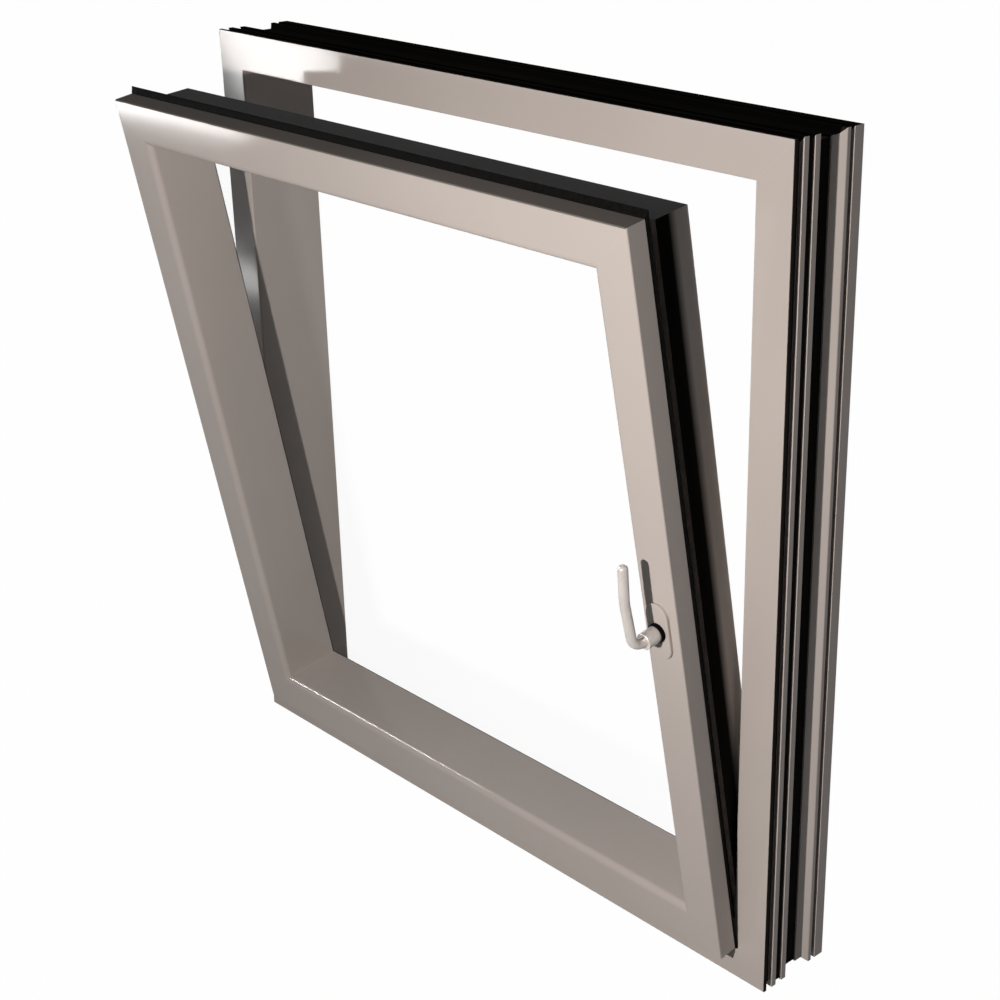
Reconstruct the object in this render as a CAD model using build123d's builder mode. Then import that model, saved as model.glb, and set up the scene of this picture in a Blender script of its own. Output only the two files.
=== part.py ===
from build123d import *
import os

os.makedirs("parts", exist_ok=True)

# Tilt and turn window: frame, inward tilted sash, glass, handle and corner hinge.
# X runs to the right seen from the room, Y runs outdoors and Z runs up.
# The origin is on the sill's mounting rib, halfway along the window.

# Frame
frame_width = 1000.0
frame_height = 1022.0
frame_face = 49.5

# Depths of the frame, counted from its room side face
flange_thickness = 5.0
mounting_rib_start = 15.0
mounting_rib_thickness = 7.0
second_rib_start = 33.0
inner_shell_depth = 40.5
frame_break_depth = 25.5
reveal_wall = 4.0
shoulder_length = 12.0
crest_rise_length = 5.5
crest_length = 5.0
outer_groove_width = 7.0
outer_shell_depth = 44.0

# Insets of the frame's outer side, counted from its full width
front_groove_inset = 6.0
middle_groove_inset = 3.0
second_rib_inset = 0.5
frame_break_inset = 9.0
shoulder_inset = 7.0
crest_inset = 0.5
outer_groove_inset = 8.0
back_leg_inset = 0.5

# Sash
overlay = 5.5
sash_face = 55.0
lip_thickness = 25.5
lip_gap = 5.2
running_clearance = 5.0
swing_room = 1.0
body_taper = 2.2
sash_depth = 99.0
sash_break_depth = 24.5
sash_break_inset = 27.0
sash_break_taper = 8.0
edge_radius = 2.0
nose_radius = 9.0

# Glass and what holds it
bead_thickness = 12.0
bead_taper = 1.0
gasket_thickness = 1.0
gasket_setback = 0.7
pane_thickness = 3.0
pane_gap = 4.0
pane_inset = 33.0
pane_setback = 0.5
sealant_width = 3.0
spacer_width = 8.0
spacer_setback = 1.0

# Motion
tilt_open = 10.0
tilt_pin_depth = 3.1
tilt_pin_rise = 10.0
turn_pin_depth = 5.0
turn_pin_margin = 2.6

# Corner hinge
pin_radius = 1.3
pin_clearance = 0.1
sleeve_wall = 0.8
link_thickness = 2.0
link_height = 16.0
link_length = 16.0
link_face_gap = 2.2
lug_thickness = 3.0
lug_gap = 0.3
bearing_rise = 4.0
bearing_plate_thickness = 2.0
bearing_plate_width = 20.0
tilt_pin_length = 12.0
tilt_pin_root = 4.0
pivot_plate_thickness = 1.6
pivot_width = 9.0
pivot_height = 22.0
pivot_gap = 0.6

# Handle
handle_rise = 465.0
plate_width = 32.0
plate_height = 70.0
plate_thickness = 4.0
plate_edge_chamfer = 0.8
bushing_radius = 11.2
bushing_height = 5.0
collar_radius = 9.8
collar_height = 18.0
collar_floor = 3.0
collar_edge_chamfer = 0.5
lever_radius = 5.8
lever_standoff = 45.5
lever_length = 105.0
lever_straight_length = 60.0
lever_bend_radius = 16.0
lever_tip_return = 5.0
lever_tip_bend_radius = 60.0
lever_lean = 3.0
lever_tip_radius = 5.0

# Values worked out from the sizes above
front_y = -(mounting_rib_start + mounting_rib_thickness / 2)
frame_depth = inner_shell_depth + frame_break_depth + outer_shell_depth
outer_shell_start = inner_shell_depth + frame_break_depth
sash_margin = frame_face - overlay
sash_width = frame_width - 2 * sash_margin
sash_height = frame_height - 2 * sash_margin
sash_proud = lip_thickness + lip_gap
body_inset = overlay + running_clearance + swing_room
rebate_width = sash_face - bead_thickness
glass_end = sash_depth - pane_setback
glass_start = glass_end - 2 * pane_thickness - pane_gap
bead_end = glass_start - gasket_thickness
outer_shell_front = lip_thickness + sash_break_depth
sealant_inset = pane_inset - sealant_width
reveal_inset = frame_face - reveal_wall

INWARD = {"left": (1, 0), "right": (-1, 0), "bottom": (0, 1), "top": (0, -1)}

# The frame's plane faces the room. The sash's plane is tilted about its lower pin.
frame_plane = Plane(origin=(0, front_y, frame_height / 2), x_dir=(1, 0, 0), z_dir=(0, -1, 0))
tilt_axis = Vector(0, front_y - tilt_pin_depth, sash_margin + tilt_pin_rise)
closed_centre = Vector(0, front_y - sash_proud, frame_height / 2)
open_centre = tilt_axis + (closed_centre - tilt_axis).rotate(Axis.X, tilt_open)
sash_plane = Plane(origin=open_centre, x_dir=(1, 0, 0), z_dir=Vector(0, -1, 0).rotate(Axis.X, tilt_open))


def bar_plane(base, side, width, height):
    """Section plane of one side: local X points into the opening, local Y outdoors."""
    across, rise = INWARD[side]
    edge = base.from_local_coords(Vector(-across * width / 2, -rise * height / 2, 0))
    inward = base.x_dir * across + base.y_dir * rise
    return Plane(origin=edge, x_dir=inward, z_dir=inward.cross(base.z_dir * -1))


def write(piece, name):
    piece.label = name
    export_step(piece, f"parts/{name}.step")


def mitred_bars(name, base, width, height, outline):
    """Four bars of one profile round a rectangle, cut at 45 degrees where they meet."""
    points = [(inward, depth) for inward, depth, radius in outline]
    radii = [radius for inward, depth, radius in outline]
    for side in INWARD:
        section = bar_plane(base, side, width, height)
        half = (height if side in ("left", "right") else width) / 2
        with BuildPart() as bar:
            with BuildSketch(section):
                with BuildLine():
                    FilletPolyline(*points, radius=radii, close=True)
                make_face()
            extrude(amount=half, both=True)
            for end in (1, -1):
                corner = section.from_local_coords(Vector(0, 0, end * half))
                mitre = Plane(origin=corner, z_dir=section.x_dir + section.z_dir * end)
                split(bisect_by=mitre, keep=Keep.BOTTOM)
        write(bar.part, f"{name}_{side}")


def ring(name, depth, thickness, outer_inset, inner_inset):
    """A flat rectangular ring in the sash, parallel to its face."""
    with BuildPart() as loop:
        with BuildSketch(sash_plane.offset(-depth)):
            Rectangle(sash_width - 2 * outer_inset, sash_height - 2 * outer_inset)
            Rectangle(sash_width - 2 * inner_inset, sash_height - 2 * inner_inset, mode=Mode.SUBTRACT)
        extrude(amount=-thickness)
    write(loop.part, name)


def pane(name, depth):
    with BuildPart() as sheet:
        with BuildSketch(sash_plane.offset(-depth)):
            Rectangle(sash_width - 2 * pane_inset, sash_height - 2 * pane_inset)
        extrude(amount=-pane_thickness)
    write(sheet.part, name)


# Room side shell of the frame: its face, two ribs with grooves, and a wall that lines the reveal
mounting_rib_end = mounting_rib_start + mounting_rib_thickness
frame_inner_outline = [
    (0, 0, 1.0),
    (frame_face, 0, edge_radius),
    (frame_face, outer_shell_start, 0),
    (reveal_inset, outer_shell_start, 0),
    (reveal_inset, inner_shell_depth, 0),
    (second_rib_inset, inner_shell_depth, 0),
    (second_rib_inset, second_rib_start, 0),
    (middle_groove_inset, second_rib_start, 0),
    (middle_groove_inset, mounting_rib_end, 0),
    (0, mounting_rib_end, 0),
    (0, mounting_rib_start, 0),
    (front_groove_inset, mounting_rib_start, 0),
    (front_groove_inset, flange_thickness, 0),
    (0, flange_thickness, 0),
]
mitred_bars("frame_inner", frame_plane, frame_width, frame_height, frame_inner_outline)

# Insulating strip between the frame's two shells
frame_break_outline = [
    (frame_break_inset, inner_shell_depth, 0),
    (reveal_inset, inner_shell_depth, 0),
    (reveal_inset, outer_shell_start, 0),
    (frame_break_inset, outer_shell_start, 0),
]
mitred_bars("frame_break", frame_plane, frame_width, frame_height, frame_break_outline)

# Outdoor shell of the frame, with a shoulder, a crest, a groove and a back leg on its outside
crest_foot = outer_shell_start + shoulder_length
crest_start = crest_foot + crest_rise_length
outer_groove_start = crest_start + crest_length
back_leg_start = outer_groove_start + outer_groove_width
frame_outer_outline = [
    (shoulder_inset, outer_shell_start, 0),
    (frame_face, outer_shell_start, 0),
    (frame_face, frame_depth, 0),
    (back_leg_inset, frame_depth, 0),
    (back_leg_inset, back_leg_start, 0),
    (outer_groove_inset, back_leg_start, 0),
    (outer_groove_inset, outer_groove_start, 0),
    (crest_inset, outer_groove_start, 0),
    (crest_inset, crest_start, edge_radius),
    (shoulder_inset, crest_foot, edge_radius),
]
mitred_bars("frame_outer", frame_plane, frame_width, frame_height, frame_outer_outline)

# Room side shell of the sash: the face that laps over the frame, with a rounded nose
sash_face_outline = [
    (0, 0, edge_radius),
    (sash_face, 0, nose_radius),
    (sash_face, lip_thickness, 0),
    (0, lip_thickness, 0),
]
mitred_bars("sash_face", sash_plane, sash_width, sash_height, sash_face_outline)

# Insulating core of the sash, set back to leave the groove round its edge
sash_break_outline = [
    (sash_break_inset, lip_thickness, 0),
    (rebate_width, lip_thickness, 0),
    (rebate_width, outer_shell_front, 0),
    (sash_break_inset - sash_break_taper, outer_shell_front, 0),
]
mitred_bars("sash_break", sash_plane, sash_width, sash_height, sash_break_outline)

# Outdoor shell of the sash, narrower at its back so that it swings clear of the frame
sash_outer_outline = [
    (body_inset, outer_shell_front, 0),
    (rebate_width, outer_shell_front, 0),
    (rebate_width, bead_end, 0),
    (sealant_inset, bead_end, 0),
    (sealant_inset, sash_depth, 0),
    (body_inset + body_taper, sash_depth, 1.0),
]
mitred_bars("sash_outer", sash_plane, sash_width, sash_height, sash_outer_outline)

# Glazing beads, which line the reveal from the sash's face to the glass
bead_outline = [
    (rebate_width, lip_thickness, 0),
    (sash_face, lip_thickness, 0),
    (sash_face - bead_taper, bead_end, 1.0),
    (rebate_width, bead_end, 0),
]
mitred_bars("glazing_bead", sash_plane, sash_width, sash_height, bead_outline)

# Glass unit: two panes with a spacer, glued in from outdoors against a gasket
pane("glass_pane_room", glass_start)
pane("glass_pane_outdoor", glass_start + pane_thickness + pane_gap)
spacer_outer = pane_inset + spacer_setback
ring("glass_spacer", glass_start + pane_thickness, pane_gap, spacer_outer, spacer_outer + spacer_width)
ring("glazing_gasket", bead_end, gasket_thickness, sealant_inset, sash_face - bead_taper - gasket_setback)
ring("glazing_sealant", glass_start, glass_end - glass_start, sealant_inset, pane_inset)

# Handle plate, dark bushing and collar on the middle of the right stile
handle_x = sash_width / 2 - sash_face / 2
handle_y = handle_rise - sash_height / 2
handle_plane = Plane(
    origin=sash_plane.from_local_coords(Vector(handle_x, handle_y, 0)),
    x_dir=sash_plane.x_dir,
    z_dir=sash_plane.z_dir,
)
with BuildPart() as handle_plate:
    with BuildSketch(handle_plane):
        SlotOverall(plate_height, plate_width, rotation=90)
    extrude(amount=plate_thickness)
    chamfer(faces().sort_by(Axis(handle_plane.origin, handle_plane.z_dir))[-1].edges(), plate_edge_chamfer)
write(handle_plate.part, "handle_plate")

with BuildPart() as handle_bushing:
    with BuildSketch(handle_plane.offset(plate_thickness)):
        Circle(bushing_radius)
    extrude(amount=bushing_height)
write(handle_bushing.part, "handle_bushing")

collar_foot = plate_thickness + bushing_height
with BuildPart() as handle_collar:
    with BuildSketch(handle_plane.offset(collar_foot)):
        Circle(collar_radius)
    extrude(amount=collar_height)
    chamfer(faces().sort_by(Axis(handle_plane.origin, handle_plane.z_dir))[-1].edges(), collar_edge_chamfer)
    with BuildSketch(handle_plane.offset(collar_foot + collar_floor)):
        Circle(lever_radius + pin_clearance)
    extrude(amount=collar_height, mode=Mode.SUBTRACT)
write(handle_collar.part, "handle_collar")

# Lever: a round neck that bends up into the grip, whose tip leans back to the sash
lever_foot = collar_foot + collar_floor + pin_clearance
lever_plane = Plane(origin=handle_plane.origin, x_dir=handle_plane.z_dir, z_dir=handle_plane.x_dir * -1)
with BuildPart() as handle_lever:
    with BuildLine(lever_plane) as lever_route:
        FilletPolyline(
            (lever_foot, 0),
            (lever_standoff - lever_lean, 0),
            (lever_standoff, lever_straight_length),
            (lever_standoff - lever_tip_return, lever_length),
            radius=[lever_bend_radius, lever_tip_bend_radius],
        )
    with BuildSketch(handle_plane.offset(lever_foot)):
        Circle(lever_radius)
    sweep(path=lever_route.wires()[0])
    fillet(faces().sort_by(Axis(handle_plane.origin, handle_plane.y_dir))[-1].edges(), lever_tip_radius)
write(handle_lever.part, "handle_lever")

# Corner hinge at the foot of the left stile. The bearing on the frame holds an upright pin.
turn_x = -sash_width / 2 - turn_pin_margin
turn_y = front_y - turn_pin_depth
bearing_foot = sash_margin + bearing_rise
link_foot = bearing_foot + lug_thickness + lug_gap
bearing_height = 2 * (lug_thickness + lug_gap) + link_height
sleeve_radius = pin_radius + pin_clearance + sleeve_wall
lug_levels = (bearing_foot, bearing_foot + bearing_height - lug_thickness)
with BuildPart() as corner_bearing:
    with BuildSketch(Plane.XY.offset(bearing_foot)):
        with Locations((turn_x, front_y)):
            Rectangle(bearing_plate_width, bearing_plate_thickness, align=(Align.MAX, Align.MAX))
    extrude(amount=bearing_height)
    for level in lug_levels:
        with BuildSketch(Plane.XY.offset(level)):
            with Locations((turn_x, turn_y)):
                Circle(sleeve_radius)
                Rectangle(sleeve_radius, turn_pin_depth, align=(Align.MAX, Align.MIN))
        extrude(amount=lug_thickness)
    with BuildSketch(Plane.XY.offset(bearing_foot)):
        with Locations((turn_x, turn_y)):
            Circle(pin_radius)
    extrude(amount=bearing_height)
write(corner_bearing.part, "corner_bearing")

# The link swings on the upright pin and carries the level pin that the sash tilts on
tilt_pin_start = turn_x + link_length - tilt_pin_root
with BuildPart() as corner_link:
    with BuildSketch(Plane.XY.offset(link_foot)):
        with Locations((turn_x, turn_y)):
            Circle(sleeve_radius)
        with Locations((turn_x, front_y - link_face_gap)):
            Rectangle(link_length, link_thickness, align=(Align.MIN, Align.MAX))
        with Locations((turn_x, turn_y)):
            Circle(pin_radius + pin_clearance, mode=Mode.SUBTRACT)
    extrude(amount=link_height)
    with BuildSketch(Plane(origin=(tilt_pin_start, tilt_axis.Y, tilt_axis.Z), z_dir=(1, 0, 0))):
        Circle(pin_radius)
    extrude(amount=tilt_pin_root + tilt_pin_length)
write(corner_link.part, "corner_link")

# The sash's half of the hinge is an eye on that pin, with a plate on the back of the lip
pivot_x = turn_x + link_length + pivot_gap
lip_back = lip_gap - tilt_pin_depth
pivot_origin = (pivot_x, tilt_axis.Y, tilt_axis.Z)
with BuildPart() as sash_pivot:
    with BuildSketch(Plane(origin=pivot_origin, x_dir=sash_plane.z_dir * -1, z_dir=(1, 0, 0))):
        with Locations((-lip_back, 0)):
            Rectangle(pivot_plate_thickness, pivot_height, align=(Align.MIN, Align.MIN))
        Circle(lip_back)
        Circle(pin_radius + pin_clearance, mode=Mode.SUBTRACT)
    extrude(amount=pivot_width)
write(sash_pivot.part, "sash_pivot")
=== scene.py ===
import math

import bpy
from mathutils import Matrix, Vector


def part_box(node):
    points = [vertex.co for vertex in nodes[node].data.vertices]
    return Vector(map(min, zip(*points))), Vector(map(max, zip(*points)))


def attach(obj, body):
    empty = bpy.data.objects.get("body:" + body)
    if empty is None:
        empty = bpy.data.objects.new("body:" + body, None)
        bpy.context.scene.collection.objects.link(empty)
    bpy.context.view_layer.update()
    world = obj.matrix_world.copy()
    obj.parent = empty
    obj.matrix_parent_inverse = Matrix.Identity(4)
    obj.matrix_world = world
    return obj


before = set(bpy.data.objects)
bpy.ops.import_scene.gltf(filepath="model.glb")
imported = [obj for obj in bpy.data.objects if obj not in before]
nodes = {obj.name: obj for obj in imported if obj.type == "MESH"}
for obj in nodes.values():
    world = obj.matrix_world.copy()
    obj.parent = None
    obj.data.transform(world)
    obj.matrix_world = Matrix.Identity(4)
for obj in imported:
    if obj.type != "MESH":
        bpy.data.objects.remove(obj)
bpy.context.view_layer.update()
sides = ("left", "right", "bottom", "top")
sashTilt = math.radians(10)
sashUp = (0, -math.sin(sashTilt), math.cos(sashTilt))
sashDown = (0, math.sin(sashTilt), -math.cos(sashTilt))
sashOutdoors = (0, math.cos(sashTilt), math.sin(sashTilt))
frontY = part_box("frame_inner_left")[0].y  # room side face of the frame
print("frame loaded:", len(nodes), "nodes")


# Small helpers for node trees. A name that is a socket sets that socket, any other is a property.

def addNode(tree, kind, **values):
    node = tree.nodes.new(kind)
    for key, value in values.items():
        if key in node.inputs:
            node.inputs[key].default_value = value
        else:
            setattr(node, key, value)
    return node


def wire(tree, source, target):
    tree.links.new(source, target)


def newMaterial(name, finish):
    material = bpy.data.materials.new(name)
    material.use_nodes = True
    tree = material.node_tree
    shader = tree.nodes["Principled BSDF"]
    for socket, value in finish.items():
        shader.inputs[socket].default_value = value
    return material, tree, shader


def objectNoise(tree, scale, detail, stretch=(1, 1, 1)):
    coords = addNode(tree, "ShaderNodeTexCoord")
    mapping = addNode(tree, "ShaderNodeMapping", Scale=stretch)
    noise = addNode(tree, "ShaderNodeTexNoise", Scale=scale, Detail=detail)
    wire(tree, coords.outputs["Object"], mapping.inputs["Vector"])
    wire(tree, mapping.outputs["Vector"], noise.inputs["Vector"])
    return noise.outputs["Fac"]


def remap(tree, value, low, high, fromLow=0.3, fromHigh=0.7):
    ranged = addNode(tree, "ShaderNodeMapRange")
    for socket, number in (("From Min", fromLow), ("From Max", fromHigh), ("To Min", low), ("To Max", high)):
        ranged.inputs[socket].default_value = number
    wire(tree, value, ranged.inputs["Value"])
    return ranged.outputs["Result"]


def mixColours(tree, factor, first, second):
    mix = addNode(tree, "ShaderNodeMix", data_type="RGBA")
    wire(tree, factor, mix.inputs["Factor"])
    for socket, colour in ((mix.inputs[6], first), (mix.inputs[7], second)):
        if isinstance(colour, tuple):
            socket.default_value = (*colour, 1)
        else:
            wire(tree, colour, socket)
    return mix.outputs[2]


def addBump(tree, shader, height, distance, strength=1.0):
    bump = addNode(tree, "ShaderNodeBump", Distance=distance, Strength=strength)
    wire(tree, height, bump.inputs["Height"])
    wire(tree, bump.outputs["Normal"], shader.inputs["Normal"])


def towards(tree, vector, direction):
    dot = addNode(tree, "ShaderNodeVectorMath", operation="DOT_PRODUCT")
    dot.inputs[1].default_value = direction
    wire(tree, vector, dot.inputs[0])
    return dot.outputs["Value"]


def combine(tree, operation, first, second):
    joined = addNode(tree, "ShaderNodeMath", operation=operation)
    wire(tree, first, joined.inputs[0])
    wire(tree, second, joined.inputs[1])
    return joined.outputs["Value"]


# 1 along sharp edges, where the rounded normal leaves the true one
def edgeMask(tree, radius):
    bevel = addNode(tree, "ShaderNodeBevel", Radius=radius)
    geometry = addNode(tree, "ShaderNodeNewGeometry")
    turn = addNode(tree, "ShaderNodeVectorMath", operation="DOT_PRODUCT")
    wire(tree, bevel.outputs["Normal"], turn.inputs[0])
    wire(tree, geometry.outputs["Normal"], turn.inputs[1])
    return remap(tree, turn.outputs["Value"], 1.0, 0.0, 0.75, 0.99)


# Coated metal of the frame and the sash: satin paint under a clear lacquer. The outer tops get a painted
# shade, and so do the grooves on the frame's outer side and the front of the sash's flank, where the lip's
# shadow is painted. Groove bands are depths behind the frame's front in metres; the flank's shade span is a
# share of its depth.
coating = {
    "tint": (0.50, 0.455, 0.425),
    "paler": (0.535, 0.49, 0.46),
    # paler sharp edges: partly edge wear, partly a painted highlight
    "edgeWearAndHighlightTint": (0.56, 0.515, 0.485),
    "edgeRadius": 0.0008,
    "specular": 0.02,
    "roughnessLow": 0.40,
    "roughnessHigh": 0.50,
    "lacquer": 0.28,
    "lacquerRoughness": 0.09,
    "grainHeight": 0.00004,
    "paintedShadeRoughness": 0.85,
    # painted shade on the frame's top, dark as if unlit
    "frameTopShadeTint": (0.016, 0.014, 0.012),
    "frameTopShadePaler": (0.030, 0.027, 0.024),
    # painted shade on the sash's lip top and back top
    "lipTopShadeTint": (0.17, 0.155, 0.14),
    "lipTopShadePaler": (0.22, 0.20, 0.185),
    "backTopShadeTint": (0.19, 0.187, 0.187),
    "backTopShadePaler": (0.24, 0.237, 0.237),
    # painted shadow of the lip on the front of the sash's flank
    "flankShadeTint": (0.010, 0.009, 0.008),
    "flankShadePaler": (0.018, 0.016, 0.015),
    "flankShadeSpan": (0.38, 0.62),
    # painted shade in the grooves on the frame's outer side
    "grooveShadeTint": (0.028, 0.025, 0.023),
    "grooveShadePaler": (0.038, 0.034, 0.032),
    "grooveShadeBands": ((-0.001, 0.0145, 0.0002), (0.0224, 0.0326, 0.0002)),
}


# 1 between the depths of any band, which is given as its two ends and how softly it fades
def bandMask(tree, position, axis, bands):
    depth = towards(tree, position, axis)
    mask = None
    for start, end, fade in bands:
        after = remap(tree, depth, 0, 1, start - fade, start)
        inside = combine(tree, "MULTIPLY", after, remap(tree, depth, 1, 0, end, end + fade))
        mask = inside if mask is None else combine(tree, "MAXIMUM", mask, inside)
    return mask


# With an outward direction, the surfaces that face that way get a painted shade instead, a dark finish
# standing in for shade, and behind the front face also those that face the room. With bands, it is only what
# faces outward inside them.
def coatedMetal(name, outward=None, shadeTint=None, shadePaler=None, bandAxis=None, bands=None):
    finish = {"Specular IOR Level": coating["specular"], "Coat Weight": coating["lacquer"],
              "Coat Roughness": coating["lacquerRoughness"]}
    material, tree, shader = newMaterial(name, finish)
    cloud = objectNoise(tree, 3.5, 4)
    colour = mixColours(tree, remap(tree, cloud, 0, 1), coating["tint"], coating["paler"])
    # Sharp edges paler: partly edge wear, partly a painted highlight along the edges
    colour = mixColours(tree, edgeMask(tree, coating["edgeRadius"]), colour, coating["edgeWearAndHighlightTint"])
    wire(tree, colour, shader.inputs["Base Color"])
    roughness = remap(tree, objectNoise(tree, 11, 5), coating["roughnessLow"], coating["roughnessHigh"])
    wire(tree, roughness, shader.inputs["Roughness"])
    addBump(tree, shader, objectNoise(tree, 700, 2), coating["grainHeight"])
    if outward:
        # The painted-shade finish: a dark matt shader standing in for shade
        dark = addNode(tree, "ShaderNodeBsdfPrincipled", Roughness=coating["paintedShadeRoughness"])
        dark.inputs["Specular IOR Level"].default_value = 0.0
        wire(tree, mixColours(tree, remap(tree, cloud, 0, 1), shadeTint, shadePaler), dark.inputs["Base Color"])
        coords = addNode(tree, "ShaderNodeTexCoord")
        facing, position = coords.outputs["Normal"], coords.outputs["Object"]
        outwardPart = remap(tree, towards(tree, facing, outward), 0, 1, 0.3, 0.5)
        if bands:
            paintedShadePart = combine(tree, "MULTIPLY", outwardPart, bandMask(tree, position, bandAxis, bands))
        else:
            roomPart = remap(tree, towards(tree, facing, (0, -1, 0)), 0, 1, 0.3, 0.5)
            behind = remap(tree, towards(tree, position, (0, 1, 0)), 0, 1, frontY + 0.001, frontY + 0.002)
            paintedShadePart = combine(tree, "MAXIMUM", outwardPart, combine(tree, "MULTIPLY", roomPart, behind))
        mix = addNode(tree, "ShaderNodeMixShader")
        wire(tree, paintedShadePart, mix.inputs["Fac"])
        wire(tree, shader.outputs["BSDF"], mix.inputs[1])
        wire(tree, dark.outputs["BSDF"], mix.inputs[2])
        wire(tree, mix.outputs["Shader"], tree.nodes["Material Output"].inputs["Surface"])
    return material


# Black parts: the insulating strips, the seals
blackParts = {
    "stripTint": (0.010, 0.009, 0.008),
    "stripPaler": (0.018, 0.016, 0.015),
    "rubberTint": (0.003, 0.003, 0.003),
    "rubberPaler": (0.008, 0.0075, 0.007),
    "specular": 0.005,
}


def mattBlack(name, tint, paler, grain, height):
    material, tree, shader = newMaterial(name, {"Specular IOR Level": blackParts["specular"]})
    cloud = objectNoise(tree, grain, 4)
    wire(tree, mixColours(tree, remap(tree, cloud, 0, 1), tint, paler), shader.inputs["Base Color"])
    wire(tree, remap(tree, cloud, 0.5, 0.75), shader.inputs["Roughness"])
    addBump(tree, shader, objectNoise(tree, grain * 6, 2), height)
    return material


# Clear glass, which lets light through as well as sight: shadow and soft light rays cross it unbent
glazing = {"tint": (1, 1, 1, 1), "ior": 1.08, "waveHeight": 0.00004}


def clearGlass(name):
    finish = {"Base Color": glazing["tint"], "IOR": glazing["ior"], "Transmission Weight": 1.0,
              "Roughness": 0.0}
    material, tree, shader = newMaterial(name, finish)
    clear = addNode(tree, "ShaderNodeBsdfTransparent", Color=glazing["tint"])
    rays = addNode(tree, "ShaderNodeLightPath")
    mix = addNode(tree, "ShaderNodeMixShader")
    straight = combine(tree, "MAXIMUM", rays.outputs["Is Shadow Ray"], rays.outputs["Is Diffuse Ray"])
    wire(tree, straight, mix.inputs["Fac"])
    wire(tree, shader.outputs["BSDF"], mix.inputs[1])
    wire(tree, clear.outputs["BSDF"], mix.inputs[2])
    wire(tree, mix.outputs["Shader"], tree.nodes["Material Output"].inputs["Surface"])
    addBump(tree, shader, objectNoise(tree, 2.5, 1), glazing["waveHeight"])
    return material


# Bare metal: handle, hinge, spacer
bareMetal = {
    "handle": {"tint": (0.60, 0.555, 0.53), "paler": (0.68, 0.64, 0.61), "metallic": 0.35,
               "roughness": (0.26, 0.38), "brush": (1, 1, 0.15)},
    "hinge": {"tint": (0.42, 0.42, 0.42), "paler": (0.55, 0.55, 0.54), "metallic": 0.9,
              "roughness": (0.32, 0.44), "brush": (0.2, 1, 1)},
    "spacer": {"tint": (0.02, 0.02, 0.02), "paler": (0.05, 0.05, 0.05), "metallic": 0.6,
               "roughness": (0.45, 0.57), "brush": (1, 1, 1)},
}


def brushedMetal(name, values):
    material, tree, shader = newMaterial(name, {"Metallic": values["metallic"]})
    brush = objectNoise(tree, 260, 5, values["brush"])
    colour = mixColours(tree, remap(tree, brush, 0, 1), values["tint"], values["paler"])
    wire(tree, colour, shader.inputs["Base Color"])
    wire(tree, remap(tree, brush, *values["roughness"]), shader.inputs["Roughness"])
    addBump(tree, shader, brush, 0.00002)
    return material


# Where the painted shade lies: on the sash's flank in its own depth, as the lip's shadow, and in the frame's
# grooves behind its front
flankDepths = [vertex.co.dot(Vector(sashOutdoors)) for vertex in nodes["sash_outer_left"].data.vertices]
flankStart, flankLength = min(flankDepths), max(flankDepths) - min(flankDepths)
flankShadeEnds = [flankStart + share * flankLength for share in coating["flankShadeSpan"]]
flankShadeBands = [(flankStart - 0.01, flankShadeEnds[0], flankShadeEnds[1] - flankShadeEnds[0])]
grooveShadeBands = [(frontY + start, frontY + end, fade) for start, end, fade in coating["grooveShadeBands"]]
outwardOf = {
    "left": ((-1, 0, 0), (-1, 0, 0)),
    "right": ((1, 0, 0), (1, 0, 0)),
    "bottom": ((0, 0, -1), sashDown),
}

coated = coatedMetal("coatedMetal")
# Frame top bars: their tops and the room-facing faces behind the front get a painted shade
coatedFrameTopShaded = coatedMetal("coatedMetalFrameTopPaintedShade", (0, 0, 1), coating["frameTopShadeTint"],
                             coating["frameTopShadePaler"])
# Sash lip top and back top, with a painted shade on their up-facing faces
coatedLipTopShaded = coatedMetal("coatedMetalLipTopPaintedShade", sashUp, coating["lipTopShadeTint"], coating["lipTopShadePaler"])
coatedBackTopShaded = coatedMetal("coatedMetalBackTopPaintedShade", sashUp, coating["backTopShadeTint"], coating["backTopShadePaler"])
strip = mattBlack("insulatingStrip", blackParts["stripTint"], blackParts["stripPaler"], 60, 0.00006)
rubber = mattBlack("sealRubber", blackParts["rubberTint"], blackParts["rubberPaler"], 160, 0.00004)
glass = clearGlass("clearGlass")
handleMetal = brushedMetal("handleMetal", bareMetal["handle"])
hingeMetal = brushedMetal("hingeMetal", bareMetal["hinge"])
spacerMetal = brushedMetal("spacerMetal", bareMetal["spacer"])

finishes = {
    "glass_pane_room": glass,
    "glass_pane_outdoor": glass,
    "glass_spacer": spacerMetal,
    "glazing_gasket": rubber,
    "glazing_sealant": rubber,
    "handle_bushing": rubber,
    "handle_plate": coated,
    "handle_collar": handleMetal,
    "handle_lever": handleMetal,
    "corner_bearing": hingeMetal,
    "corner_link": hingeMetal,
    "sash_pivot": hingeMetal,
    "frame_inner_top": coatedFrameTopShaded,
    "frame_outer_top": coatedFrameTopShaded,
    "sash_face_top": coatedLipTopShaded,
    "sash_outer_top": coatedBackTopShaded,
}
# Frame grooves and sash flanks get painted shade: in the frame's outer grooves, and as the lip's shadow on
# the flank's front
for side, (frameOutward, sashOutward) in outwardOf.items():
    finishes[f"frame_inner_{side}"] = coatedMetal(
        f"coatedMetalGrooveShade_{side}", frameOutward, coating["grooveShadeTint"], coating["grooveShadePaler"],
        (0, 1, 0), grooveShadeBands)
    finishes[f"sash_outer_{side}"] = coatedMetal(
        f"coatedMetalFlankShade_{side}", sashOutward, coating["flankShadeTint"], coating["flankShadePaler"],
        sashOutdoors, flankShadeBands)
for side in sides:
    finishes[f"frame_break_{side}"] = strip
    finishes[f"sash_break_{side}"] = strip
for name, node in nodes.items():
    node.data.materials.clear()
    node.data.materials.append(finishes.get(name, coated))
print("materials set on", len(nodes), "nodes")


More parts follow.
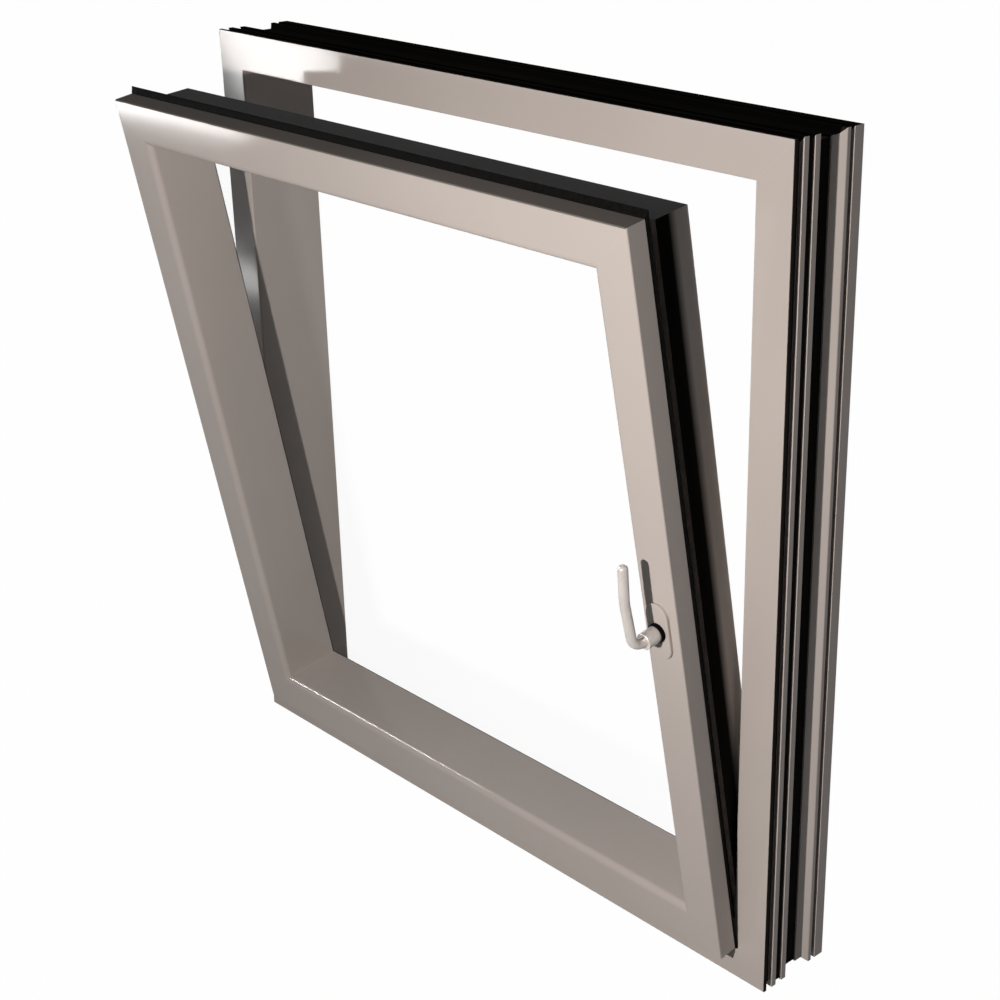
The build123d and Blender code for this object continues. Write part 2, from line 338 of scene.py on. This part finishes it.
# Lip seal: a rubber fin on the back of the sash's lip, open round the hinge corner
seal = {
    "root": 0.008,
    "topReach": 0.0085,
    "sideReach": 0.0022,
    "thickness": 0.0016,
    "frontGap": 0.0004,
    "topDepth": 0.0046,
    "bottomDepth": 0.0024,
    "hingeRise": 0.036,
    "hingeRun": 0.032,
}


# Profile of the fin: (inset from the lip's edge, depth behind the lip)
def sealProfile(reach, depth):
    thick, root, gap = seal["thickness"], seal["root"], seal["frontGap"]
    back = [(root, thick * 0.8), (root * 0.5, thick), (0, thick * 1.1 + depth * 0.25)]
    tip = [(-reach * 0.6, depth * 0.92), (-reach * 0.9, depth), (-reach, depth * 0.85)]
    front = [(-reach * 0.7, max(depth - thick, gap)), (-reach * 0.1, gap), (0.0006, 0), (root, 0)]
    return back + tip + front


def makeSeal():
    low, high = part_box("sash_face_left")[0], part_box("sash_face_right")[1]
    width = high.x - low.x
    up = Vector(sashUp)
    outdoors = Vector(sashOutdoors)
    bar = nodes["sash_face_left"].data.vertices
    heights = [vertex.co.dot(up) for vertex in bar]
    depths = [vertex.co.dot(outdoors) for vertex in bar]
    foot, height = min(heights), max(heights) - min(heights)
    back = max(depths)
    side = sealProfile(seal["sideReach"], seal["topDepth"])
    top = sealProfile(seal["topReach"], seal["topDepth"])
    bottom = sealProfile(seal["sideReach"], seal["bottomDepth"])
    rings = []
    for i, (inset, depth) in enumerate(side):
        topInset, (bottomInset, bottomDepth) = top[i][0], bottom[i]
        left, right = -width / 2 + inset, width / 2 - inset
        rings.append([
            (left, seal["hingeRise"], depth),
            (left, height - topInset, depth),
            (right, height - topInset, depth),
            (right, bottomInset, bottomDepth),
            (-width / 2 + seal["hingeRun"], bottomInset, bottomDepth),
        ])
    count, stations = len(side), 5
    points = []
    for station in range(stations):
        for ring in rings:
            x, rise, depth = ring[station]
            points.append(Vector((x, 0, 0)) + up * (foot + rise) + outdoors * (back + depth))
    last = (stations - 1) * count
    faces = [list(range(count))[::-1], list(range(last, last + count))]
    for station in range(stations - 1):
        for i in range(count):
            a, b = station * count + i, station * count + (i + 1) % count
            faces.append((a, b, b + count, a + count))
    mesh = bpy.data.meshes.new("lipSeal")
    mesh.from_pydata(points, [], faces)
    mesh.materials.append(rubber)
    piece = bpy.data.objects.new("lipSeal", mesh)
    bpy.context.scene.collection.objects.link(piece)
    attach(piece, "sash")


makeSeal()
print("lip seal made")


# Floor: white to the eye and in reflections, plain pale to the light, with the object's shadow
floorValues = {"level": -0.9, "reach": 60.0, "tint": (0.35, 0.35, 0.35), "backgroundShare": 0.99}


def makeFloor():
    reach = floorValues["reach"]
    mesh = bpy.data.meshes.new("studioFloor")
    corners = [(x * reach, y * reach, floorValues["level"]) for x, y in ((-1, -1), (1, -1), (1, 1), (-1, 1))]
    mesh.from_pydata(corners, [], [(0, 1, 2, 3)])
    floor = bpy.data.objects.new("studioFloor", mesh)
    bpy.context.scene.collection.objects.link(floor)
    material = bpy.data.materials.new("studioFloor")
    material.use_nodes = True
    tree = material.node_tree
    tree.nodes.remove(tree.nodes["Principled BSDF"])
    pale = addNode(tree, "ShaderNodeBsdfDiffuse", Color=(*floorValues["tint"], 1))
    white = addNode(tree, "ShaderNodeEmission", Color=(1, 1, 1, 1), Strength=1.0)
    share = addNode(tree, "ShaderNodeMath", operation="MULTIPLY")
    share.inputs[1].default_value = floorValues["backgroundShare"]
    wire(tree, seenRays(tree), share.inputs[0])
    mix = addNode(tree, "ShaderNodeMixShader")
    wire(tree, share.outputs["Value"], mix.inputs["Fac"])
    wire(tree, pale.outputs["BSDF"], mix.inputs[1])
    wire(tree, white.outputs["Emission"], mix.inputs[2])
    wire(tree, mix.outputs["Shader"], tree.nodes["Material Output"].inputs["Surface"])
    mesh.materials.append(material)


# 1 for rays that show the background: straight ones, and through or off glass and metal
def seenRays(tree):
    rays = addNode(tree, "ShaderNodeLightPath")
    seen = combine(tree, "MAXIMUM", rays.outputs["Is Camera Ray"], rays.outputs["Is Glossy Ray"])
    return combine(tree, "MAXIMUM", seen, rays.outputs["Is Transmission Ray"])


# World: white background, with a dim soft light of its own on the object, stronger overhead
worldValues = {"softTint": (0.97, 0.98, 1.0), "softStrength": 0.012, "overhead": 0.22}


def makeWorld():
    world = bpy.data.worlds.new("studio")
    world.use_nodes = True
    tree = world.node_tree
    soft = tree.nodes["Background"]
    soft.inputs["Color"].default_value = (*worldValues["softTint"], 1)
    sky = addNode(tree, "ShaderNodeTexCoord")
    height = towards(tree, sky.outputs["Generated"], (0, 0, 1))
    strength = remap(tree, height, worldValues["softStrength"], worldValues["overhead"], 0.35, 1.0)
    wire(tree, strength, soft.inputs["Strength"])
    white = addNode(tree, "ShaderNodeBackground", Color=(1, 1, 1, 1), Strength=1.0)
    mix = addNode(tree, "ShaderNodeMixShader")
    wire(tree, seenRays(tree), mix.inputs["Fac"])
    wire(tree, soft.outputs["Background"], mix.inputs[1])
    wire(tree, white.outputs["Background"], mix.inputs[2])
    wire(tree, mix.outputs["Shader"], tree.nodes["World Output"].inputs["Surface"])
    bpy.context.scene.world = world


# Lamps: a key light in front of the handle side, a low fill behind, and on the left softboxes that only
# show as a sheen
lamps = {
    "keyLight": {"at": (0.785, -1.66, 1.0), "to": (0.45, -0.15, 0.8), "size": (0.05, 0.05), "watts": 28,
                 "roll": 0, "tint": (1, 0.94, 0.90), "lights": True},
    "backFill": {"at": (-1.0, 2.1, 0.15), "to": (0, 0, 0.5), "size": (0.5, 0.5), "watts": 20,
                 "roll": 0, "tint": (1, 0.97, 0.95), "lights": True},
    "frameSheen": {"at": (-2.6, -1.529, 0.635), "to": (-0.36, 0, 1.0), "size": (0.26, 0.36), "watts": 11,
                   "roll": 26, "tint": (1, 1, 1), "lights": False},
    "sashSheen": {"at": (-2.6, -1.34, 0.02), "to": (-0.38, -0.208, 0.952), "size": (0.42, 0.06), "watts": 3.2,
                  "roll": -32.6, "tint": (1, 1, 1), "lights": False},
    "edgeSheen": {"at": (-2.44, -1.2, 1.87), "to": (-0.3, 0, 0.5), "size": (0.3, 1.2), "watts": 90,
                  "roll": 0, "tint": (1, 1, 1), "lights": False},
}


def makeLamps():
    for name, lamp in lamps.items():
        light = bpy.data.lights.new(name, "AREA")
        light.shape = "RECTANGLE"
        light.size, light.size_y = lamp["size"]
        light.energy = lamp["watts"]
        light.color = lamp["tint"]
        stand = bpy.data.objects.new(name, light)
        stand.location = lamp["at"]
        stand.visible_diffuse = lamp["lights"]
        stand.visible_camera = False
        aim = Vector(lamp["to"]) - Vector(lamp["at"])
        stand.rotation_euler = aim.to_track_quat("-Z", "Y").to_euler()
        stand.rotation_euler.rotate_axis("Z", math.radians(lamp["roll"]))
        bpy.context.scene.collection.objects.link(stand)


# Camera, fitted to the photo. Lengths are in metres, and the aim lies in the frame's front plane.
cameraValues = {
    "lens": 66.177,
    "shiftX": -0.1182,
    "shiftY": -0.0069,
    "azimuth": 45.049,
    "elevation": 22.667,
    "distance": 2.1337,
    "aimX": 0.2545,
    "aimZ": 0.5736,
}


def makeCamera():
    azimuth = math.radians(cameraValues["azimuth"])
    elevation = math.radians(cameraValues["elevation"])
    flat = math.cos(elevation)
    forward = Vector((-math.sin(azimuth) * flat, math.cos(azimuth) * flat, -math.sin(elevation)))
    data = bpy.data.cameras.new("photoCamera")
    data.lens = cameraValues["lens"]
    data.shift_x = cameraValues["shiftX"]
    data.shift_y = cameraValues["shiftY"]
    camera = bpy.data.objects.new("photoCamera", data)
    aim = Vector((cameraValues["aimX"], frontY, cameraValues["aimZ"]))
    camera.location = aim - forward * cameraValues["distance"]
    camera.rotation_euler = forward.to_track_quat("-Z", "Y").to_euler()
    bpy.context.scene.collection.objects.link(camera)
    bpy.context.scene.camera = camera


makeFloor()
makeWorld()
makeLamps()
makeCamera()
bpy.context.scene.view_settings.view_transform = "Standard"
print("studio set up")
